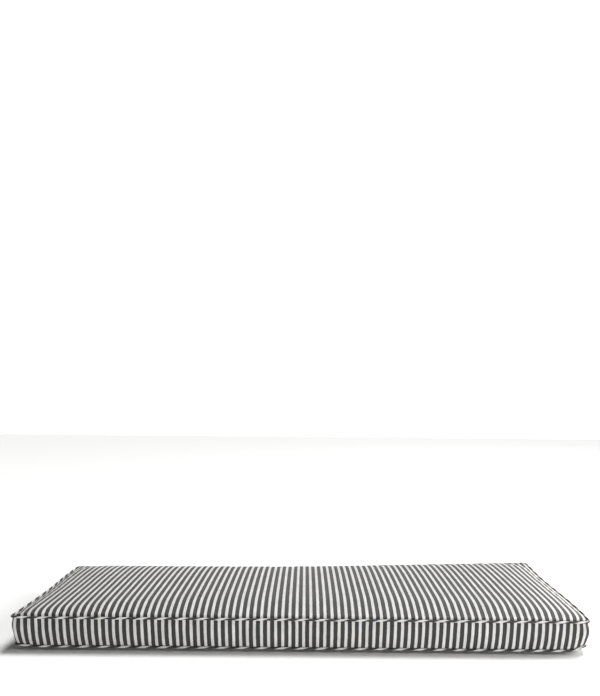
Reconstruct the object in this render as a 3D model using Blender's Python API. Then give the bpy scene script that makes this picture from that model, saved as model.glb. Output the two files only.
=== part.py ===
"""A boxed bench cushion: crowned filled body, with a corded welt in its top and its bottom seam."""

import math

import bmesh
import bpy

# Driving sizes, in metres. Length and depth run from the middle of one welt to the middle of the other.
LENGTH = 1.2222
DEPTH = 0.4445
BOXING_HEIGHT = 0.0640
WELT_DIAMETER = 0.0050
WELT_GAP = 0.0008

# The body rests on a flat area of its lower face, and its bottom seam stands clear of the surface.
SEAM_LIFT = 0.0080
CONTACT_INSET = 0.0450
CONTACT_FULLNESS = 2.2

# The crown of the upper face above the top seam: its height, less to the right, and how it falls
# to each seam over a reach, steeply at first where the fullness is high.
CROWN = 0.0279
CROWN_LEAN = -0.176
CROWN_CORNER_FULLNESS = 2.28
CROWN_EDGES = {
    "front": {"reach": 0.120, "fullness": 2.25},
    "back": {"reach": 0.285, "fullness": 1.92},
    "left": {"reach": 1.100, "fullness": 2.60},
    "right": {"reach": 0.134, "fullness": 1.92},
}

# The sides: a boxing strip that swells between its seams, on the ends and on the long sides, and a
# groove where each seam is sewn.
END_SWELL = 0.0032
LONG_SWELL = 0.0034
SWELL_FULLNESS = 3.0
SEAM_GROOVE = 0.0012
GROOVE_REACH = 0.0030

# How each side's seams run between its corners: drawn in by a depth in the middle, and bowed, which
# draws the front part in and lets the back part out. Below 0 it is the other way round. The middle of
# the boxing follows by half, and the panels follow only near the seam.
DRAWN_SIDES = {
    "front": {"depth": 0.0010, "bow": 0.0},
    "back": {"depth": 0.0020, "bow": 0.0},
    "left": {"depth": 0.0035, "bow": 0.0024},
    "right": {"depth": -0.0035, "bow": -0.0035},
}
BOW_LEAN = {"front": 1.0, "back": 1.0, "left": 1.35, "right": 1.0}
BOXING_SHARE_DRAWN = 0.5
DRAWN_FALLOFF = 8.0

# The back of the top face rises towards its right end and falls a little towards its left one.
BACK_RISE = {"left": -0.0049, "right": 0.0167}
BACK_RISE_POWER = 0.92

# Each corner: its radius, how far its lower seam is lifted and tucked in, how far its upper seam is
# raised and pinched in, and how near to the corner that happens.
CORNERS = {
    ("left", "front"): {
        "radius": 0.005, "lift": 0.003, "tuck": 0.0020, "raise": 0.001, "pinch": 0.0010, "reach": 0.020,
    },
    ("right", "front"): {
        "radius": 0.005, "lift": 0.010, "tuck": 0.0022, "raise": 0.0, "pinch": 0.0022, "reach": 0.015,
    },
    ("left", "back"): {
        "radius": 0.019, "lift": 0.004, "tuck": 0.003, "raise": 0.0024, "pinch": 0.0015, "reach": 0.020,
    },
    ("right", "back"): {
        "radius": 0.018, "lift": 0.005, "tuck": 0.003, "raise": 0.0014, "pinch": 0.0015, "reach": 0.020,
    },
}

# Spacing of the cuts across the faces: close to a seam, then wider by a fixed ratio.
FIRST_CUT = 0.0020
CUT_GROWTH = 1.55
WIDEST_CUT = 0.0300
BOXING_CUTS = 8
WELT_SIDES_RESOLUTION = 2

COLLECTION_NAME = "bench_cushion"
TICKING_GREY = (0.330, 0.325, 0.315, 1.0)
WELT_GREY = (0.360, 0.355, 0.345, 1.0)
CLOTH_ROUGHNESS = 0.9

WELT_RADIUS = WELT_DIAMETER / 2
SEAT = WELT_RADIUS + WELT_GAP
HALF_LENGTH = LENGTH / 2 - SEAT + SEAM_GROOVE
HALF_DEPTH = DEPTH / 2 - SEAT + SEAM_GROOVE


def clear_scene():
    for old in list(bpy.data.objects):
        bpy.data.objects.remove(old, do_unlink=True)


def rise(distance, reach, fullness):
    """Share of the full height at a distance from the seam: a quarter of a superellipse, then flat."""
    short = min(1.0, max(0.0, 1.0 - distance / reach))
    return (1.0 - short**fullness) ** (1.0 / fullness)


def met(along, across, fullness):
    """Two shares joined at a corner: near the smaller one, with a soft turn between them."""
    along, across = max(along, 1e-6), max(across, 1e-6)
    return (along**-fullness + across**-fullness - 1.0) ** (-1.0 / fullness)


def crown_height(x, y):
    """Height of the upper face above the top seam, at a place on the flat panel."""
    distances = {
        "front": y + HALF_DEPTH,
        "back": HALF_DEPTH - y,
        "left": x + HALF_LENGTH,
        "right": HALF_LENGTH - x,
    }
    share = {name: rise(distances[name], **edge) for name, edge in CROWN_EDGES.items()}
    over_depth = share["front"] * share["back"]
    over_length = share["left"] * share["right"]
    height = CROWN * (1.0 + CROWN_LEAN * x / HALF_LENGTH)
    return height * met(over_depth, over_length, CROWN_CORNER_FULLNESS)


def contact_share(x, y):
    """1 where the lower face rests flat, falling to 0 at the bottom seam."""
    across = rise(HALF_LENGTH - abs(x), CONTACT_INSET, CONTACT_FULLNESS)
    along = rise(HALF_DEPTH - abs(y), CONTACT_INSET, CONTACT_FULLNESS)
    return across * along


def sides_at(x, y):
    """The names of the end and the long side that a place belongs to."""
    return ("left" if x < 0 else "right"), ("front" if y < 0 else "back")


def rounded(x, y):
    """A place on the flat panel moved for the round corners, with the outward direction there."""
    radius = CORNERS[sides_at(x, y)]["radius"]
    over_x = max(0.0, abs(x) - (HALF_LENGTH - radius)) / radius
    over_y = max(0.0, abs(y) - (HALF_DEPTH - radius)) / radius
    arc_x = over_x * math.sqrt(1.0 - over_y**2 / 2)
    arc_y = over_y * math.sqrt(1.0 - over_x**2 / 2)
    size = math.hypot(arc_x, arc_y)
    if size == 0.0:
        return x, y, (0.0, 0.0)
    side, end = math.copysign(1.0, x), math.copysign(1.0, y)
    new_x = x + side * radius * (arc_x - over_x)
    new_y = y + end * radius * (arc_y - over_y)
    return new_x, new_y, (side * arc_x / size, end * arc_y / size)


def swollen(share_up):
    """1 along the middle of the boxing, falling to 0 at both its seams."""
    return 1.0 - abs(2.0 * share_up - 1.0) ** SWELL_FULLNESS


def stand_out(x, y, share_up, normal):
    """How far the cover stands out of the plain box: the boxing swells, and each seam lies in a groove."""
    on_panel = max(0.0, min(HALF_LENGTH - abs(x), HALF_DEPTH - abs(y)))
    from_seam = BOXING_HEIGHT * min(share_up, 1.0 - share_up) + on_panel
    groove = math.exp(-((from_seam / GROOVE_REACH) ** 2))
    swell = END_SWELL * normal[0] ** 2 + LONG_SWELL * normal[1] ** 2
    return swell * swollen(share_up) - SEAM_GROOVE * groove


def drawn_in(place, half, name):
    """How far a side is drawn in at a place between its two corners, at -half and +half."""
    share = min(1.0, max(0.0, (place / half + 1.0) / 2))
    side = DRAWN_SIDES[name]
    bow = side["bow"] * math.sin(2.0 * math.pi * share ** BOW_LEAN[name])
    return side["depth"] * 4.0 * share * (1.0 - share) + bow


def near_corners(x, y, share_up):
    """Lift and inward move of a place near the corners, which fade from the seam they belong to."""
    lift = tuck = 0.0
    turn = math.cos(math.pi * share_up)
    low, high = max(0.0, turn), max(0.0, -turn) ** 3
    for (end, long_side), corner in CORNERS.items():
        away_x = x - (HALF_LENGTH if end == "right" else -HALF_LENGTH)
        away_y = y - (HALF_DEPTH if long_side == "back" else -HALF_DEPTH)
        near = math.exp(-(away_x**2 + away_y**2) / (2 * corner["reach"] ** 2))
        lift += near * (0.5 + 0.5 * turn) * corner["lift"]
        lift += near * (0.5 - 0.5 * turn) * corner["raise"]
        tuck += near * (low * corner["tuck"] + high * corner["pinch"])
    return lift, tuck


def back_rise(x, y):
    """How far the back of the top face stands above or below its front, at a place on the panel."""
    rise_there = BACK_RISE["right"] if x > 0 else BACK_RISE["left"]
    towards_back = (y / HALF_DEPTH + 1.0) / 2
    return rise_there * abs(x / HALF_LENGTH) ** BACK_RISE_POWER * towards_back**2


def settled(x, y, share_up, outward=0.0):
    """The place on the finished cushion of a point of the plain box it is cut from.

    share_up is 0 at the bottom seam and 1 at the top seam. outward moves a point of the boxing away
    from the body, which places the welts.
    """
    new_x, new_y, normal = rounded(x, y)
    outward += stand_out(x, y, share_up, normal)
    lift, tuck = near_corners(x, y, share_up)
    end, long_side = sides_at(x, y)
    share_drawn = 1.0 - (1.0 - BOXING_SHARE_DRAWN) * math.sin(math.pi * share_up)
    inward_x = tuck + share_drawn * drawn_in(y, HALF_DEPTH, end)
    inward_y = tuck + share_drawn * drawn_in(x, HALF_LENGTH, long_side)
    follow_x = math.copysign(abs(x / HALF_LENGTH) ** DRAWN_FALLOFF, x)
    follow_y = math.copysign(abs(y / HALF_DEPTH) ** DRAWN_FALLOFF, y)
    new_x += normal[0] * outward - inward_x * follow_x
    new_y += normal[1] * outward - inward_y * follow_y
    contact = contact_share(x, y) if share_up == 0.0 else 0.0
    crown = crown_height(x, y) if share_up == 1.0 else 0.0
    free = 1.0 - contact
    height = SEAM_LIFT * free + BOXING_HEIGHT * share_up + crown
    height += lift * free + back_rise(x, y) * (share_up + 0.5 * (1.0 - share_up) * free)
    return new_x, new_y, height


def cuts_between(half):
    """Places of the cuts across a face that runs from -half to +half, seams left out."""
    places = []
    place, step = half, FIRST_CUT
    while place - step > WIDEST_CUT / 2:
        place -= step
        places.append(place)
        step = min(step * CUT_GROWTH, WIDEST_CUT)
    return sorted([-p for p in places] + [0.0] + places)


def boxing_levels():
    """Shares of the boxing's height where it is cut, closer together near the seams."""
    steps = range(1, BOXING_CUTS)
    return [0.5 - 0.5 * math.cos(math.pi * step / BOXING_CUTS) for step in steps]


def cut_box():
    """A plain box, cut along every line that the finished shape needs."""
    box = bmesh.new()
    bmesh.ops.create_cube(box, size=2.0)
    bmesh.ops.scale(box, vec=(HALF_LENGTH, HALF_DEPTH, 0.5), verts=box.verts)
    bmesh.ops.translate(box, vec=(0, 0, 0.5), verts=box.verts)
    lines = [((place, 0, 0), (1, 0, 0)) for place in cuts_between(HALF_LENGTH)]
    lines += [((0, place, 0), (0, 1, 0)) for place in cuts_between(HALF_DEPTH)]
    lines += [((0, 0, share), (0, 0, 1)) for share in boxing_levels()]
    for place, direction in lines:
        geometry = box.verts[:] + box.edges[:] + box.faces[:]
        bmesh.ops.bisect_plane(box, geom=geometry, dist=1e-7, plane_co=place, plane_no=direction)
    return box


def cloth(name, colour):
    material = bpy.data.materials.new(name)
    material.use_nodes = True
    shader = material.node_tree.nodes["Principled BSDF"]
    shader.inputs["Base Color"].default_value = colour
    shader.inputs["Roughness"].default_value = CLOTH_ROUGHNESS
    shader.inputs["Metallic"].default_value = 0.0
    material.diffuse_color = colour
    return material


def make_body(collection):
    box = cut_box()
    for vert in box.verts:
        vert.co = settled(vert.co.x, vert.co.y, round(vert.co.z, 6))
    bmesh.ops.recalc_face_normals(box, faces=box.faces)
    mesh = bpy.data.meshes.new("cushion")
    box.to_mesh(mesh)
    box.free()
    mesh.materials.append(cloth("striped_ticking", TICKING_GREY))
    mesh.shade_smooth()
    mesh.set_sharp_from_angle(angle=math.radians(40))
    body = bpy.data.objects.new("cushion", mesh)
    collection.objects.link(body)


def seam_walk():
    """Places round the seam, one at each cut of the body, anticlockwise from the front left corner."""
    along = [-HALF_LENGTH] + cuts_between(HALF_LENGTH)
    across = [-HALF_DEPTH] + cuts_between(HALF_DEPTH)
    walk = [(x, -HALF_DEPTH) for x in along]
    walk += [(HALF_LENGTH, y) for y in across]
    walk += [(-x, HALF_DEPTH) for x in along]
    walk += [(-HALF_LENGTH, -y) for y in across]
    return walk


def make_welt(collection, name, share_up):
    curve = bpy.data.curves.new(name, "CURVE")
    curve.dimensions = "3D"
    curve.bevel_depth = WELT_RADIUS
    curve.bevel_resolution = WELT_SIDES_RESOLUTION
    walk = seam_walk()
    path = curve.splines.new("POLY")
    path.points.add(len(walk) - 1)
    for point, (x, y) in zip(path.points, walk):
        point.co = (*settled(x, y, share_up, outward=SEAT), 1.0)
    path.use_cyclic_u = True
    curve.materials.append(cloth("bias_" + name, WELT_GREY))
    welt = bpy.data.objects.new(name, curve)
    collection.objects.link(welt)


def main():
    clear_scene()
    collection = bpy.data.collections.new(COLLECTION_NAME)
    bpy.context.scene.collection.children.link(collection)
    make_body(collection)
    make_welt(collection, "welt_top", 1.0)
    make_welt(collection, "welt_bottom", 0.0)


main()
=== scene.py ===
import math

import bpy
import numpy as np
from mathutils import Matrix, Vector


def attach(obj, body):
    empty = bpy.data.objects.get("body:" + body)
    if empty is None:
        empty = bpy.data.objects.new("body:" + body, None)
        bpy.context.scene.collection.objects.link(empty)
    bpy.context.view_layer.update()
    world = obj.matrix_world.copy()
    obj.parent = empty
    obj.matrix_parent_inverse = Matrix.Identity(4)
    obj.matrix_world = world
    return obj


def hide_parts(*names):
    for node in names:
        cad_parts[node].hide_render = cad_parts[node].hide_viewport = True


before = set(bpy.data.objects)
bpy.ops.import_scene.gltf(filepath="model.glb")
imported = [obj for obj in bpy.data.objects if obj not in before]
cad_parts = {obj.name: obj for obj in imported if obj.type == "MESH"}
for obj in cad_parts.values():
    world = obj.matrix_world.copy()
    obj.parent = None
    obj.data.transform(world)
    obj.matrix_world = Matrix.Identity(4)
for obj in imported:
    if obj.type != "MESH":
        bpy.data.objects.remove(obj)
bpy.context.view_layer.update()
scene = bpy.context.scene


def hexColour(code):
    # an sRGB hex value as the linear colour that a shader reads
    parts = [int(code[i:i + 2], 16) / 255 for i in (1, 3, 5)]
    linear = [c / 12.92 if c <= 0.04045 else ((c + 0.055) / 1.055) ** 2.4 for c in parts]
    return (*linear, 1.0)


def addNode(tree, kind, settings=None, links=None):
    # a key that names one of the node's own settings is set on the node, any other is a socket
    node = tree.nodes.new(kind)
    for key, value in (settings or {}).items():
        if isinstance(key, str) and hasattr(node, key):
            setattr(node, key, value)
        else:
            node.inputs[key].default_value = value
    for key, socket in (links or {}).items():
        tree.links.new(socket, node.inputs[key])
    return node


def newMaterial(name):
    material = bpy.data.materials.new(name)
    material.use_nodes = True
    material.node_tree.nodes.clear()
    return material, material.node_tree


def deselectAll():
    if bpy.context.mode != "OBJECT":
        bpy.ops.object.mode_set(mode="OBJECT")
    bpy.ops.object.select_all(action="DESELECT")


def makeActive(piece):
    deselectAll()
    piece.select_set(True)
    bpy.context.view_layer.objects.active = piece


def applyModifier(piece, kind, **settings):
    makeActive(piece)
    modifier = piece.modifiers.new(kind.lower(), kind)
    for key, value in settings.items():
        setattr(modifier, key, value)
    bpy.ops.object.modifier_apply(modifier=modifier.name)


def pointsOf(mesh):
    flat = np.zeros(len(mesh.vertices) * 3)
    mesh.vertices.foreach_get("co", flat)
    return flat.reshape(-1, 3)


def setPoints(mesh, places):
    mesh.vertices.foreach_set("co", np.ascontiguousarray(places, dtype=np.float32).ravel())
    mesh.update()


def newClothMap(mesh):
    # the piece's only UV map, which is filled in metres of cloth
    while mesh.uv_layers:
        mesh.uv_layers.remove(mesh.uv_layers[0])
    return mesh.uv_layers.new(name="cloth")


# the cushion's form, in metres; length and depth run from the middle of one welt to the middle of the other
cushion = {
    "length": 1.2222,
    "depth": 0.4445,
    "boxing": 0.0640,            # height of the strip round the sides
    "seamLift": 0.0080,          # the bottom seam stands this far above the surface
    "contactInset": 0.0450,      # the flat resting area starts this far inside the seam
    "contactFullness": 2.2,      # the higher a fullness, the faster a curve leaves its seam
    "crown": 0.0279,             # height of the top above its seams, where all its curves are full
    "crownLean": -0.176,         # the share it gains towards the right end, so it stands higher at the left
    "crownCornerFullness": 2.28,
    # how far in from each seam the top goes on rising
    "edges": {
        "front": {"reach": 0.120, "fullness": 2.25},
        "back": {"reach": 0.285, "fullness": 1.92},
        "left": {"reach": 1.100, "fullness": 2.60},
        "right": {"reach": 0.134, "fullness": 1.92},
    },
    "leftDip": 0.007,            # the cloth dips beside the left welt, so the whole cord shows
    "endSwell": 0.0032,          # the strip swells by this much between its seams at the ends
    "longSwell": 0.0034,         # and by this much along the front and the back
    "swellFullness": 3.0,
    "groove": 0.0012,            # depth of the groove along a seam
    "grooveReach": 0.0030,
    # how far the sides are drawn in between their corners, or bowed out where it is negative; a bow is a
    # double bend, and its lean moves it along the side
    "drawn": {
        "front": {"depth": 0.0010, "bow": 0.0, "lean": 1.0},
        "back": {"depth": 0.0020, "bow": 0.0, "lean": 1.0},
        "left": {"depth": 0.0035, "bow": 0.0024, "lean": 1.35},
        "right": {"depth": -0.0035, "bow": -0.0035, "lean": 1.0},
    },
    "boxingShareDrawn": 0.5,     # half-way up the strip only this share is drawn in
    "drawnFalloff": 8.0,         # and it dies out by this power towards the cushion's middle
    "backRise": {"left": -0.0049, "right": 0.0167},  # how much higher the top seam is at the back corners
    "backRisePower": 0.92,
    "backRiseBelow": 0.5,        # the bottom seam follows it by this share
    # each corner: its roundness, how far its own bends reach, how much its bottom seam is lifted and tucked
    # in, and how much its top seam is raised and pinched in
    "corners": (
        {"side": -1, "end": -1, "radius": 0.005, "reach": 0.020,
         "lift": 0.003, "tuck": 0.0020, "raise": 0.0010, "pinch": 0.0010},
        {"side": 1, "end": -1, "radius": 0.005, "reach": 0.015,
         "lift": 0.010, "tuck": 0.0022, "raise": 0.0000, "pinch": 0.0022},
        {"side": -1, "end": 1, "radius": 0.019, "reach": 0.020,
         "lift": 0.004, "tuck": 0.0030, "raise": 0.0024, "pinch": 0.0015},
        {"side": 1, "end": 1, "radius": 0.018, "reach": 0.020,
         "lift": 0.005, "tuck": 0.0030, "raise": 0.0014, "pinch": 0.0015},
    ),
    "pinchPower": 3,             # a pinch stays nearer to its seam than a tuck
    "ease": 0.0024,              # the stripes close up by this much at the right end
    "easePower": 14,
    "firstCut": 0.0014,          # width of the row of faces beside a seam
    "cutGrowth": 1.4,            # each row further in is this much wider
    "widestCut": 0.0095,
    "boxingCuts": 12,            # rows of faces up the strip
}

welt = {
    "diameter": 0.0050,
    "gap": 0.0008,               # from the cord to the seam, though the cloth beside it comes nearer
    "sides": 12,
    "step": 0.0040,              # length of one short tube
    "samples": 400,              # places measured along each side of the seam
}

seat = welt["diameter"] / 2 + welt["gap"]
halfLength = cushion["length"] / 2 - seat + cushion["groove"]
halfDepth = cushion["depth"] / 2 - seat + cushion["groove"]


def onPanel(x, y):
    # how far in from the panel's nearest edge
    return np.maximum(0.0, np.minimum(halfLength - abs(x), halfDepth - abs(y)))


def fromSeam(x, y, shareUp):
    # how far from the nearest seam, measured over the cloth
    return cushion["boxing"] * np.minimum(shareUp, 1.0 - shareUp) + onPanel(x, y)


def rise(distance, reach, fullness):
    # share of the full height at a distance from the seam
    short = np.clip(1.0 - distance / reach, 0.0, 1.0)
    return (1.0 - short ** fullness) ** (1.0 / fullness)


def met(along, across, fullness):
    # two shares joined at a corner: near the smaller one, with a soft turn between them
    along, across = np.maximum(along, 1e-6), np.maximum(across, 1e-6)
    return (along ** -fullness + across ** -fullness - 1.0) ** (-1.0 / fullness)


def drawnIn(place, half, depth, bow, lean):
    # how far a side is drawn in between its two corners, at -half and +half
    share = np.clip((place / half + 1.0) / 2, 0.0, 1.0)
    return depth * 4.0 * share * (1.0 - share) + bow * np.sin(2 * np.pi * share ** lean)


def settled(x, y, shareUp, outward=0.0):
    # x, y and shareUp are arrays: places on the plain box, with 0 at the bottom seam and 1 at the top one
    c = cushion

    # square corners become round ones
    side, end, radius = np.where(x < 0, -1, 1), np.where(y < 0, -1, 1), np.zeros(len(x))
    for corner in c["corners"]:
        radius[(side == corner["side"]) & (end == corner["end"])] = corner["radius"]
    overX = np.clip(abs(x) - (halfLength - radius), 0.0, None) / radius
    overY = np.clip(abs(y) - (halfDepth - radius), 0.0, None) / radius
    arcX = overX * np.sqrt(np.clip(1.0 - overY ** 2 / 2, 0.0, 1.0))
    arcY = overY * np.sqrt(np.clip(1.0 - overX ** 2 / 2, 0.0, 1.0))
    size = np.maximum(np.hypot(arcX, arcY), 1e-9)
    normalX, normalY = np.sign(x) * arcX / size, np.sign(y) * arcY / size

    # the strip swells between its seams, with a groove along each
    groove = np.exp(-((fromSeam(x, y, shareUp) / c["grooveReach"]) ** 2))
    swollen = 1.0 - abs(2.0 * shareUp - 1.0) ** c["swellFullness"]
    swell = c["endSwell"] * normalX ** 2 + c["longSwell"] * normalY ** 2
    outward = outward + swell * swollen - c["groove"] * groove

    # each corner's own bends
    lift = tuck = 0.0
    turn = np.cos(np.pi * shareUp)
    low, high = np.maximum(0.0, turn), np.maximum(0.0, -turn) ** c["pinchPower"]
    for corner in c["corners"]:
        away = (x - corner["side"] * halfLength) ** 2 + (y - corner["end"] * halfDepth) ** 2
        near = np.exp(-away / (2 * corner["reach"] ** 2))
        raised = (0.5 + 0.5 * turn) * corner["lift"] + (0.5 - 0.5 * turn) * corner["raise"]
        lift = lift + near * raised
        tuck = tuck + near * (low * corner["tuck"] + high * corner["pinch"])

    # the sides, drawn in or bowed out between the corners
    drawn = {name: drawnIn(y, halfDepth, **c["drawn"][name]) for name in ("left", "right")}
    drawn.update({name: drawnIn(x, halfLength, **c["drawn"][name]) for name in ("front", "back")})
    shareDrawn = 1.0 - (1.0 - c["boxingShareDrawn"]) * np.sin(np.pi * shareUp)
    inwardX = tuck + shareDrawn * np.where(x < 0, drawn["left"], drawn["right"])
    inwardY = tuck + shareDrawn * np.where(y < 0, drawn["front"], drawn["back"])
    followX = np.sign(x) * abs(x / halfLength) ** c["drawnFalloff"]
    followY = np.sign(y) * abs(y / halfDepth) ** c["drawnFalloff"]
    newX = x + np.sign(x) * radius * (arcX - overX) + normalX * outward - inwardX * followX
    newY = y + np.sign(y) * radius * (arcY - overY) + normalY * outward - inwardY * followY

    # the crowned top, the underside that comes down to its flat area, and the rise at the back
    away = {"front": y + halfDepth, "back": halfDepth - y, "left": x + halfLength, "right": halfLength - x}
    share = {name: rise(away[name], **edge) for name, edge in c["edges"].items()}
    share["left"] = share["left"] * (1.0 - np.exp(-away["left"] / c["leftDip"]))
    acrossDepth, alongLength = share["front"] * share["back"], share["left"] * share["right"]
    crown = c["crown"] * (1.0 + c["crownLean"] * x / halfLength) * (shareUp == 1.0)
    crown = crown * met(acrossDepth, alongLength, c["crownCornerFullness"])
    contact = rise(halfLength - abs(x), c["contactInset"], c["contactFullness"])
    contact = contact * rise(halfDepth - abs(y), c["contactInset"], c["contactFullness"]) * (shareUp == 0.0)
    free = 1.0 - contact
    backRise = np.where(x > 0, c["backRise"]["right"], c["backRise"]["left"])
    backRise = backRise * abs(x / halfLength) ** c["backRisePower"] * ((y / halfDepth + 1.0) / 2) ** 2
    height = (c["seamLift"] + lift) * free + c["boxing"] * shareUp + crown
    height = height + backRise * (shareUp + c["backRiseBelow"] * (1.0 - shareUp) * free)
    return np.stack([newX, newY, height], axis=1)


def gradedCuts(half):
    # close together at the seam, wider by a fixed ratio further in
    places, place, step = [], half, cushion["firstCut"]
    while place - step > cushion["widestCut"] / 2:
        place -= step
        places.append(place)
        step = min(step * cushion["cutGrowth"], cushion["widestCut"])
    return sorted([-p for p in places] + [0.0] + places)


def bisectAt(place, direction):
    bpy.ops.mesh.select_all(action="SELECT")
    bpy.ops.mesh.bisect(plane_co=place, plane_no=direction, threshold=1e-6)


def makeCover():
    # a plain box, one unit tall, cut into rows that are close together at its seams
    deselectAll()
    bpy.ops.mesh.primitive_cube_add(size=2.0, location=(0, 0, 0.5), scale=(halfLength, halfDepth, 0.5))
    cover = bpy.context.object
    cover.name = cover.data.name = "cover"
    bpy.ops.object.transform_apply(location=True, rotation=True, scale=True)
    bpy.ops.object.mode_set(mode="EDIT")
    for place in gradedCuts(halfLength):
        bisectAt((place, 0, 0), (1, 0, 0))
    for place in gradedCuts(halfDepth):
        bisectAt((0, place, 0), (0, 1, 0))
    for level in range(1, cushion["boxingCuts"]):
        bisectAt((0, 0, 0.5 - 0.5 * math.cos(math.pi * level / cushion["boxingCuts"])), (0, 0, 1))
    bpy.ops.object.mode_set(mode="OBJECT")
    return cover


def mapCloth(cover):
    # u across the stripes and v along them; the boxing's u runs on round the front corners
    mesh = cover.data
    cloth = newClothMap(mesh)
    for face in mesh.polygons:
        for loop in face.loop_indices:
            x, y, shareUp = mesh.vertices[mesh.loops[loop].vertex_index].co
            up = shareUp * cushion["boxing"]
            if abs(face.normal.z) > 0.5:
                place = (x, y)
            elif abs(face.normal.y) > 0.5:
                place = (x, up)
            else:
                place = (math.copysign(halfLength + halfDepth + y, x), up)
            ease = cushion["ease"] * max(0.0, x / halfLength) ** cushion["easePower"]
            cloth.data[loop].uv = (place[0] + ease, place[1])


def markSeams(cover):
    # how far each point is along the nearest seam and away from it, in metres of cloth, for the puckers
    mesh = cover.data
    x, y, shareUp = pointsOf(mesh).T
    nearSide = halfDepth - abs(y) < halfLength - abs(x)
    along = np.where(nearSide, x + np.sign(y) * halfDepth, np.sign(x) * halfLength + y)
    places = np.stack([along, fromSeam(x, y, shareUp), 0 * along], axis=1)
    seam = mesh.attributes.new("seam", "FLOAT_VECTOR", "POINT")
    seam.data.foreach_set("vector", places.astype(np.float32).ravel())


def settleCover(cover):
    x, y, shareUp = pointsOf(cover.data).T
    setPoints(cover.data, settled(x, y, np.round(shareUp, 5)))


filling = {
    "pressure": 4.0,
    "startsLower": 0.0015,  # the cloth swells, so the top starts this far inside its form
    "startFades": 0.006,    # and less so near a seam
    "slack": 0.012,         # the cloth is cut this share larger than the form, so it puckers at its seams
    "cap": 0.0016,          # no point moves further than this
    "held": 0.006,          # near a seam it moves less, so the welts stay clear
    "restsBelow": 0.0005,   # the underside is pinned where it lies lower than this
    "pointMass": 0.15,      # in kilograms, as Cloth asks for it
    "quality": 6,
    "frames": 20,
}


def fillCover(cover, plain):
    # cloth pressed out by the filling between its sewn seams, on the flat area that it rests on
    start = pointsOf(cover.data)
    x, y, shareUp = plain.T
    away = fromSeam(x, y, shareUp)
    lower = 1.0 - np.exp(-((onPanel(x, y) / filling["startFades"]) ** 2))
    start[:, 2] -= filling["startsLower"] * lower * (shareUp > 0.999)
    setPoints(cover.data, start)

    # the seams and the resting area stay where they are
    still = (away < 1e-4) | ((shareUp < 1e-4) & (start[:, 2] < filling["restsBelow"]))
    group = cover.vertex_groups.new(name="held")
    group.add([int(i) for i in np.nonzero(still)[0]], 1.0, "REPLACE")
    makeActive(cover)
    cloth = cover.modifiers.new("filling", "CLOTH")
    cloth.settings.quality = filling["quality"]
    cloth.settings.mass = filling["pointMass"]
    cloth.settings.use_pressure = True
    cloth.settings.uniform_pressure_force = filling["pressure"]
    cloth.settings.shrink_min = -filling["slack"]
    cloth.settings.vertex_group_mass = "held"
    cloth.settings.effector_weights.gravity = 0
    cloth.collision_settings.use_collision = False
    cloth.point_cache.frame_end = filling["frames"]
    for number in range(1, filling["frames"] + 1):
        scene.frame_set(number)
    bpy.ops.object.modifier_apply(modifier="filling")

    # the simulation's own puckers are kept, only held to the cap
    moved = pointsOf(cover.data) - start
    size = np.linalg.norm(moved, axis=1)
    print("filling moved the cloth by up to", round(float(size.max()) * 1000, 2), "mm before the cap")
    share = filling["cap"] * np.tanh(size / filling["cap"]) / np.maximum(size, 1e-9)
    share *= 1.0 - np.exp(-((away / filling["held"]) ** 2))
    filled = start + moved * share[:, None]
    filled[:, 2] = np.maximum(filled[:, 2], 0.0)  # the surface underneath holds it up
    setPoints(cover.data, filled)
    cover.vertex_groups.clear()
    scene.frame_set(1)


cover = makeCover()
mapCloth(cover)
markSeams(cover)
plain = pointsOf(cover.data)
settleCover(cover)
fillCover(cover, plain)
applyModifier(cover, "SUBSURF", levels=1, render_levels=1)
bpy.ops.object.shade_smooth()
print("cover:", len(cover.data.polygons), "faces")


def seamPath(shareUp):
    # the middle of the welt all round the seam, anticlockwise, at even steps, and its length
    corners = [(side * halfLength, end * halfDepth) for side, end in ((-1, -1), (1, -1), (1, 1), (-1, 1))]
    walk = []
    for start, end in zip(corners, corners[1:] + corners[:1]):
        share = 0.5 - 0.5 * np.cos(np.linspace(0, np.pi, welt["samples"], endpoint=False))
        walk.append(np.outer(1 - share, start) + np.outer(share, end))
    walk = np.vstack(walk)
    path = settled(walk[:, 0], walk[:, 1], np.full(len(walk), shareUp), outward=seat)
    closed = np.vstack([path, path[:1]])
    along = np.concatenate([[0], np.cumsum(np.linalg.norm(np.diff(closed, axis=0), axis=1))])
    count = int(round(along[-1] / welt["step"]))
    stations = np.linspace(0, along[-1], count, endpoint=False)
    return np.stack([np.interp(stations, along, closed[:, i]) for i in range(3)], axis=1), along[-1]


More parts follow.
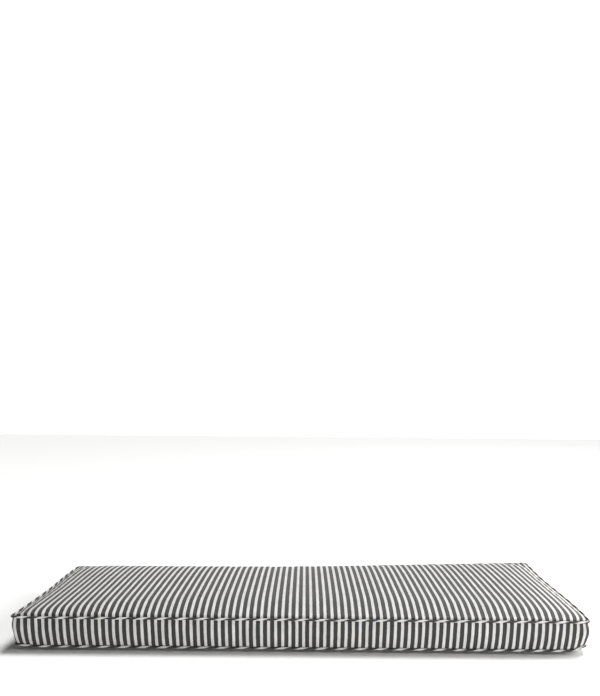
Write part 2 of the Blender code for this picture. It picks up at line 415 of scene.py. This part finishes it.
def makeWelt(name, shareUp):
    # a straight length of covered cord, one short tube repeated, is bent round the seam and closed
    path, around = seamPath(shareUp)
    count, radius = len(path), welt["diameter"] / 2
    deselectAll()
    bpy.ops.mesh.primitive_cylinder_add(
        vertices=welt["sides"], radius=radius, depth=1.0, end_fill_type="NOTHING",
        rotation=(0, math.pi / 2, 0), location=(0.5, 0, 0))
    piece = bpy.context.object
    piece.name = piece.data.name = name
    bpy.ops.object.transform_apply(location=True, rotation=True, scale=True)
    applyModifier(piece, "ARRAY", count=count, use_relative_offset=True,
                  relative_offset_displace=(1, 0, 0), use_merge_vertices=True, merge_threshold=1e-4)

    # u along the cord and v round it, with the map's cut on the side that is sewn in
    mesh = piece.data
    straight = pointsOf(mesh)
    cloth = newClothMap(mesh)
    for face in mesh.polygons:
        turns = []
        for loop in face.loop_indices:
            x, y, z = straight[mesh.loops[loop].vertex_index]
            turns.append((loop, x, math.atan2(z, y)))
        most = max(turn for _, _, turn in turns)
        for loop, x, turn in turns:
            if most - turn > math.pi:
                turn += 2 * math.pi
            cloth.data[loop].uv = (x * around / count, turn * radius)

    # the straight cord is laid along the seam, upright all the way round
    ahead = np.roll(path, -1, axis=0) - np.roll(path, 1, axis=0)
    ahead /= np.linalg.norm(ahead, axis=1)[:, None]
    out = np.cross(ahead, (0, 0, 1))
    out /= np.linalg.norm(out, axis=1)[:, None]
    up = np.cross(out, ahead)
    at = np.round(straight[:, 0]).astype(int) % count
    setPoints(mesh, path[at] + straight[:, 1:2] * out[at] + straight[:, 2:3] * up[at])
    bpy.ops.object.mode_set(mode="EDIT")
    bpy.ops.mesh.select_all(action="SELECT")
    bpy.ops.mesh.remove_doubles(threshold=1e-5)
    bpy.ops.mesh.normals_make_consistent(inside=False)
    bpy.ops.object.mode_set(mode="OBJECT")
    bpy.ops.object.shade_smooth()
    return piece


upperWelt = makeWelt("upperWelt", 1.0)
lowerWelt = makeWelt("lowerWelt", 0.0)
print("welts:", len(upperWelt.data.polygons), "and", len(lowerWelt.data.polygons), "faces")

# cotton ticking, a close twill woven from charcoal and white yarn and then washed: dull, with a soft bloom
# on the charcoal, diagonal ribs, thick places in the yarn, slightly wandering stripe edges and cloudy patches
ticking = {
    "stripeRepeat": 1.2192 / 82,  # 82 stripes to the common bench length of 48 inches
    "whiteShare": 0.414,
    "phase": 0.036,               # where the stripes stand against the cushion's middle, in repeats
    "charcoal": "#201F1E",
    "white": "#C0BFBC",
    "edge": 0.0005,               # a stripe's edge is this soft
    "wander": 0.0005,             # and wanders by up to half of this
    "wanderLength": 0.011,
    "biasAngle": 20.7,            # between the welt's stripes and its cord
    "ribRepeat": 0.0014,          # the twill's ribs repeat every four threads of 0.35 mm
    "threadWidth": 0.0007,        # real threads are 0.35 mm apart, drawn twice as coarse so that they show
    "threadHeight": 0.5,          # against a rib's height
    "slubHeight": 1.5,            # thick places in the yarn, also against a rib's height
    "weaveHeight": 0.00012,
    "weaveStrength": 0.7,
    "slubWidth": 0.0009,          # a thick place is two or three threads wide
    "slubLength": 0.016,
    "slubShade": 0.13,            # and this share lighter or darker
    "cloud": 0.038,               # size of the washed patches
    "cloudShade": 0.11,
    "stitch": 0.0032,             # the seams pucker a little between their stitches
    # cosine of the angle round the cord where a pucker starts, and where it is full, and its share of height
    "weltPucker": {"from": 0.4, "to": -0.8, "height": 0.5},
    "pucker": 0.0075,             # width of a pucker where the cover is gathered to a seam
    "puckerStretch": 0.2,         # it is five times as long as it is wide
    "puckerReach": 0.014,         # and dies out this far from the seam
    "puckerHeight": 0.0005,
    "puckerStrength": 0.6,
    "roughness": {"thin": 0.53, "thick": 0.69},  # a thick place is fuzzier, so it is a little duller
    "specular": 0.43,
    "sheen": 0.08,
    "sheenRoughness": 0.5,
    "noise": (0.25, 0.75),        # most of a noise's values lie between these
    "twoNoises": (0.6, 1.4),      # and most of the sum of two noises between these
}


def tickingMaterial(name, bias):
    material, tree = newMaterial(name)
    noiseLow, noiseHigh = ticking["noise"]
    sumLow, sumHigh = ticking["twoNoises"]
    place = addNode(tree, "ShaderNodeUVMap", {"uv_map": "cloth"})
    turn = math.radians(90 - ticking["biasAngle"]) if bias else 0.0
    cloth = addNode(tree, "ShaderNodeMapping", {"Rotation": (0, 0, turn)}, {0: place.outputs[0]})
    split = addNode(tree, "ShaderNodeSeparateXYZ", links={0: cloth.outputs[0]})

    # stripes: a repeat is counted across the cloth, and the white one stands in its middle
    repeat = ticking["stripeRepeat"]
    wanderPlace = addNode(tree, "ShaderNodeVectorMath", {
        "operation": "MULTIPLY", 1: (2 / repeat, 1 / ticking["wanderLength"], 1),
    }, {0: cloth.outputs[0]})
    wander = addNode(tree, "ShaderNodeTexNoise", {
        "Scale": 1.0, "Detail": 2.0}, {"Vector": wanderPlace.outputs[0]})
    shift = addNode(tree, "ShaderNodeMapRange", {
        "From Min": noiseLow, "From Max": noiseHigh,
        "To Min": -ticking["wander"] / 2, "To Max": ticking["wander"] / 2,
    }, {"Value": wander.outputs[0]})
    across = addNode(tree, "ShaderNodeMath", {"operation": "ADD"}, {
        0: split.outputs[0], 1: shift.outputs[0]})
    count = addNode(tree, "ShaderNodeMath", {
        "operation": "MULTIPLY_ADD", 1: 1 / repeat, 2: ticking["phase"]}, {0: across.outputs[0]})
    share = addNode(tree, "ShaderNodeMath", {"operation": "FRACT"}, {0: count.outputs[0]})
    middle = addNode(tree, "ShaderNodeMath", {"operation": "SUBTRACT", 1: 0.5}, {0: share.outputs[0]})
    away = addNode(tree, "ShaderNodeMath", {"operation": "ABSOLUTE"}, {0: middle.outputs[0]})
    edge = ticking["edge"] / repeat / 2
    half = ticking["whiteShare"] / 2
    stripe = addNode(tree, "ShaderNodeMapRange", {
        "interpolation_type": "SMOOTHSTEP", "From Min": half + edge, "From Max": half - edge,
    }, {"Value": away.outputs[0]})
    colour = addNode(tree, "ShaderNodeMix", {
        "data_type": "RGBA", 6: hexColour(ticking["charcoal"]), 7: hexColour(ticking["white"]),
    }, {0: stripe.outputs[0]})

    # thick places in the yarn, along the stripes and across them
    yarns = []
    slubWidth, slubLength = ticking["slubWidth"], ticking["slubLength"]
    for sizeX, sizeY in ((slubWidth, slubLength), (slubLength, slubWidth)):
        yarnPlace = addNode(tree, "ShaderNodeVectorMath", {
            "operation": "MULTIPLY", 1: (1 / sizeX, 1 / sizeY, 1)}, {0: cloth.outputs[0]})
        yarns.append(addNode(tree, "ShaderNodeTexNoise", {
            "Scale": 1.0, "Detail": 1.0}, {"Vector": yarnPlace.outputs[0]}))
    slub = addNode(tree, "ShaderNodeMath", {"operation": "ADD"}, {
        0: yarns[0].outputs[0], 1: yarns[1].outputs[0]})
    slubLevel = addNode(tree, "ShaderNodeMapRange", {
        "From Min": sumLow, "From Max": sumHigh,
        "To Min": 1 - ticking["slubShade"], "To Max": 1 + ticking["slubShade"],
    }, {"Value": slub.outputs[0]})

    # patches where the cloth has washed out or taken less dye
    cloud = addNode(tree, "ShaderNodeTexNoise", {
        "Scale": 1 / ticking["cloud"], "Detail": 3.0, "Roughness": 0.6}, {"Vector": cloth.outputs[0]})
    cloudLevel = addNode(tree, "ShaderNodeMapRange", {
        "From Min": noiseLow, "From Max": noiseHigh,
        "To Min": 1 - ticking["cloudShade"], "To Max": 1 + ticking["cloudShade"],
    }, {"Value": cloud.outputs[0]})
    level = addNode(tree, "ShaderNodeMath", {"operation": "MULTIPLY"}, {
        0: slubLevel.outputs[0], 1: cloudLevel.outputs[0]})
    shaded = addNode(tree, "ShaderNodeVectorMath", {"operation": "SCALE"}, {
        0: colour.outputs[2], "Scale": level.outputs[0]})

    # the twill's diagonal ribs, and the threads that cross them
    ribPlace = addNode(tree, "ShaderNodeMath", {"operation": "ADD"}, {
        0: split.outputs[0], 1: split.outputs[1]})
    ribTurn = addNode(tree, "ShaderNodeMath", {
        "operation": "MULTIPLY", 1: 2 * math.pi / ticking["ribRepeat"]}, {0: ribPlace.outputs[0]})
    rib = addNode(tree, "ShaderNodeMath", {"operation": "SINE"}, {0: ribTurn.outputs[0]})
    threadTurn = addNode(tree, "ShaderNodeMath", {
        "operation": "MULTIPLY", 1: 2 * math.pi / ticking["threadWidth"]}, {0: split.outputs[1]})
    thread = addNode(tree, "ShaderNodeMath", {"operation": "SINE"}, {0: threadTurn.outputs[0]})
    weave = addNode(tree, "ShaderNodeMath", {"operation": "MULTIPLY_ADD", 1: ticking["threadHeight"]}, {
        0: thread.outputs[0], 2: rib.outputs[0]})
    surface = addNode(tree, "ShaderNodeMath", {"operation": "MULTIPLY_ADD", 1: ticking["slubHeight"]}, {
        0: slub.outputs[0], 2: weave.outputs[0]})
    woven = addNode(tree, "ShaderNodeBump", {
        "Strength": ticking["weaveStrength"], "Distance": ticking["weaveHeight"],
    }, {"Height": surface.outputs[0]})

    if bias:
        # puckers at every stitch on the side of the cord that is sewn in
        raw = addNode(tree, "ShaderNodeSeparateXYZ", links={0: place.outputs[0]})
        stitchTurn = addNode(tree, "ShaderNodeMath", {
            "operation": "MULTIPLY", 1: 2 * math.pi / ticking["stitch"]}, {0: raw.outputs[0]})
        gather = addNode(tree, "ShaderNodeMath", {"operation": "SINE"}, {0: stitchTurn.outputs[0]})
        aroundCord = addNode(tree, "ShaderNodeMath", {
            "operation": "MULTIPLY", 1: 2 / welt["diameter"]}, {0: raw.outputs[1]})
        sewnSide = addNode(tree, "ShaderNodeMath", {"operation": "COSINE"}, {0: aroundCord.outputs[0]})
        fade = addNode(tree, "ShaderNodeMapRange", {
            "From Min": ticking["weltPucker"]["from"], "From Max": ticking["weltPucker"]["to"],
            "To Min": 0.0, "To Max": ticking["weltPucker"]["height"]}, {"Value": sewnSide.outputs[0]})
    else:
        # short puckers that run away from the seam and die out within a finger's width of it
        seam = addNode(tree, "ShaderNodeAttribute", {"attribute_name": "seam"})
        closeness = 1 / ticking["pucker"]
        puckerPlace = addNode(tree, "ShaderNodeVectorMath", {
            "operation": "MULTIPLY", 1: (closeness, ticking["puckerStretch"] * closeness, 1),
        }, {0: seam.outputs["Vector"]})
        gather = addNode(tree, "ShaderNodeTexNoise", {
            "Scale": 1.0, "Detail": 1.5}, {"Vector": puckerPlace.outputs[0]})
        apart = addNode(tree, "ShaderNodeSeparateXYZ", links={0: seam.outputs["Vector"]})
        fade = addNode(tree, "ShaderNodeMapRange", {
            "interpolation_type": "SMOOTHSTEP", "From Min": 0.0, "From Max": ticking["puckerReach"],
            "To Min": 1.0, "To Max": 0.0}, {"Value": apart.outputs[1]})
    pucker = addNode(tree, "ShaderNodeMath", {"operation": "MULTIPLY"}, {
        0: gather.outputs[0], 1: fade.outputs[0]})
    gathered = addNode(tree, "ShaderNodeBump", {
        "Strength": ticking["puckerStrength"], "Distance": ticking["puckerHeight"],
    }, {"Height": pucker.outputs[0], "Normal": woven.outputs[0]})

    dull = addNode(tree, "ShaderNodeMapRange", {
        "From Min": sumLow, "From Max": sumHigh,
        "To Min": ticking["roughness"]["thin"], "To Max": ticking["roughness"]["thick"],
    }, {"Value": slub.outputs[0]})
    shader = addNode(tree, "ShaderNodeBsdfPrincipled", {
        "Sheen Weight": ticking["sheen"], "Sheen Roughness": ticking["sheenRoughness"],
        "Specular IOR Level": ticking["specular"],
    }, {"Base Color": shaded.outputs[0], "Roughness": dull.outputs[0], "Normal": gathered.outputs[0]})
    addNode(tree, "ShaderNodeOutputMaterial", links={0: shader.outputs[0]})
    return material


cover.data.materials.append(tickingMaterial("cottonTicking", False))
for piece in (upperWelt, lowerWelt):
    piece.data.materials.append(tickingMaterial("biasTicking", True))

for piece, node, slot in ((cover, "cushion", "ticking"), (upperWelt, "welt_top", "welt_cloth"),
                          (lowerWelt, "welt_bottom", "welt_cloth")):
    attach(piece, "root")
    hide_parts(node)
print("ticking on the cover, bias ticking on the welts")

stage = {
    "floorSize": 14.0,
    "floorGap": 0.0002,       # so the cushion's flat underside and the floor don't lie in one plane
    "floorColour": "#E2E2E1",
    "floorRoughness": 0.9,
    "zenith": 0.04,           # strength of the light from overhead
    "horizon": 0.95,          # and from the bright band
    "backdrop": 1.2,          # what the camera sees of the room is plain white
    "horizonFront": 0.40,     # the bright band is this much brighter in front
    "frontBlend": (0.1, -0.7),    # from none of it to all of it, by the direction's y
    "horizonRight": 0.30,     # and on the right
    "rightBlend": (-0.1, 0.7),    # by the direction's x
    "bandTop": 0.16,          # sine of the elevation where the bright band has faded out in front
    "wallTop": 0.68,          # and behind, where a white wall stands higher
    "wallBlend": (-0.2, 0.8),     # by the direction's y
    "bandFades": 0.55,        # it starts to fade at this share of its height
    "lamps": {
        "overhead": {"kind": "SUN", "at": (0.40, 0.39, 1.0), "energy": 3.6, "angle": math.radians(22.0)},
        "side": {"kind": "AREA", "at": (4.8, 0.25, 1.8), "energy": 385.0, "wide": 3.4, "tall": 3.4},
        "front": {"kind": "AREA", "at": (0.75, -2.0, 0.05), "energy": 29.0, "wide": 1.7, "tall": 0.09},
    },
}

deselectAll()
bpy.ops.mesh.primitive_plane_add(size=stage["floorSize"], location=(0, 0, -stage["floorGap"]))
floor = bpy.context.object
floor.name = "floor"
# white painted board, matt, so that it takes the shadow and shows no gloss
material, tree = newMaterial("paleFloor")
shader = addNode(tree, "ShaderNodeBsdfPrincipled", {
    "Base Color": hexColour(stage["floorColour"]), "Roughness": stage["floorRoughness"],
    "Specular IOR Level": 0.0})
addNode(tree, "ShaderNodeOutputMaterial", links={0: shader.outputs[0]})
floor.data.materials.append(material)

# the room: a bright band at the height of the cushion all round, darker overhead
world = bpy.data.worlds.new("softRoom")
scene.world = world
world.use_nodes = True
tree = world.node_tree
tree.nodes.clear()
direction = addNode(tree, "ShaderNodeTexCoord")
split = addNode(tree, "ShaderNodeSeparateXYZ", links={0: direction.outputs["Generated"]})
top = addNode(tree, "ShaderNodeMapRange", {
    "interpolation_type": "SMOOTHSTEP", "From Min": stage["wallBlend"][0], "From Max": stage["wallBlend"][1],
    "To Min": stage["bandTop"], "To Max": stage["wallTop"]}, {"Value": split.outputs[1]})
height = addNode(tree, "ShaderNodeMath", {"operation": "DIVIDE"}, {0: split.outputs[2], 1: top.outputs[0]})
level = addNode(tree, "ShaderNodeMapRange", {
    "interpolation_type": "SMOOTHSTEP", "From Min": stage["bandFades"], "From Max": 1.0,
    "To Min": stage["horizon"], "To Max": stage["zenith"]}, {"Value": height.outputs[0]})
right = addNode(tree, "ShaderNodeMapRange", {
    "From Min": stage["rightBlend"][0], "From Max": stage["rightBlend"][1],
    "To Min": 1.0, "To Max": 1.0 + stage["horizonRight"]}, {"Value": split.outputs[0]})
front = addNode(tree, "ShaderNodeMapRange", {
    "From Min": stage["frontBlend"][0], "From Max": stage["frontBlend"][1],
    "To Min": 1.0, "To Max": 1.0 + stage["horizonFront"]}, {"Value": split.outputs[1]})
sides = addNode(tree, "ShaderNodeMath", {"operation": "MULTIPLY"}, {0: right.outputs[0], 1: front.outputs[0]})
both = addNode(tree, "ShaderNodeMath", {"operation": "MULTIPLY"}, {0: level.outputs[0], 1: sides.outputs[0]})
room = addNode(tree, "ShaderNodeBackground", {"Color": (1, 1, 1, 1)}, {"Strength": both.outputs[0]})
paper = addNode(tree, "ShaderNodeBackground", {"Color": (1, 1, 1, 1), "Strength": stage["backdrop"]})
path = addNode(tree, "ShaderNodeLightPath")
seen = addNode(tree, "ShaderNodeMixShader", links={
    0: path.outputs["Is Camera Ray"], 1: room.outputs[0], 2: paper.outputs[0]})
addNode(tree, "ShaderNodeOutputWorld", links={0: seen.outputs[0]})

for name, lamp in stage["lamps"].items():
    # each lamp points at the cushion
    light = bpy.data.lights.new(name, lamp["kind"])
    light.energy = lamp["energy"]
    if lamp["kind"] == "SUN":
        light.angle = lamp["angle"]
    else:
        light.shape = "RECTANGLE"
        light.size, light.size_y = lamp["wide"], lamp["tall"]
    holder = bpy.data.objects.new(name, light)
    holder.location = lamp["at"]
    holder.rotation_euler = (-Vector(lamp["at"])).to_track_quat("-Z", "Y").to_euler()
    scene.collection.objects.link(holder)

scene.view_settings.view_transform = "Standard"
scene.view_settings.look = "None"
print("stage: floor, room and", len(stage["lamps"]), "lamps")

# the camera stands in front of the cushion and above it, with its view shifted up as in the photograph
view = {
    "lens": 35.0,
    "sensor": 36.0,
    "height": 0.5240,                      # above the bottom seam
    "back": 1.3475,                        # from the front seam
    "side": 0.0063,
    "pitch": 16.32,
    "roll": 0.525,
    "middleX": 303.9, "middleY": 590.2,    # the pixel that it points at
    "width": 600, "tall": 696,
}
lens = bpy.data.cameras.new("camera")
lens.lens = view["lens"]
lens.sensor_width = view["sensor"]
lens.shift_x = -(view["middleX"] - view["width"] / 2) / view["tall"]
lens.shift_y = (view["middleY"] - view["tall"] / 2) / view["tall"]
camera = bpy.data.objects.new("camera", lens)
scene.collection.objects.link(camera)
camera.location = (view["side"], -cushion["depth"] / 2 - view["back"], cushion["seamLift"] + view["height"])
camera.rotation_mode = "XYZ"
camera.rotation_euler = (math.radians(90 - view["pitch"]), 0, 0)
camera.rotation_euler.rotate_axis("Z", math.radians(view["roll"]))
scene.camera = camera
print("camera:", view["lens"], "mm lens")
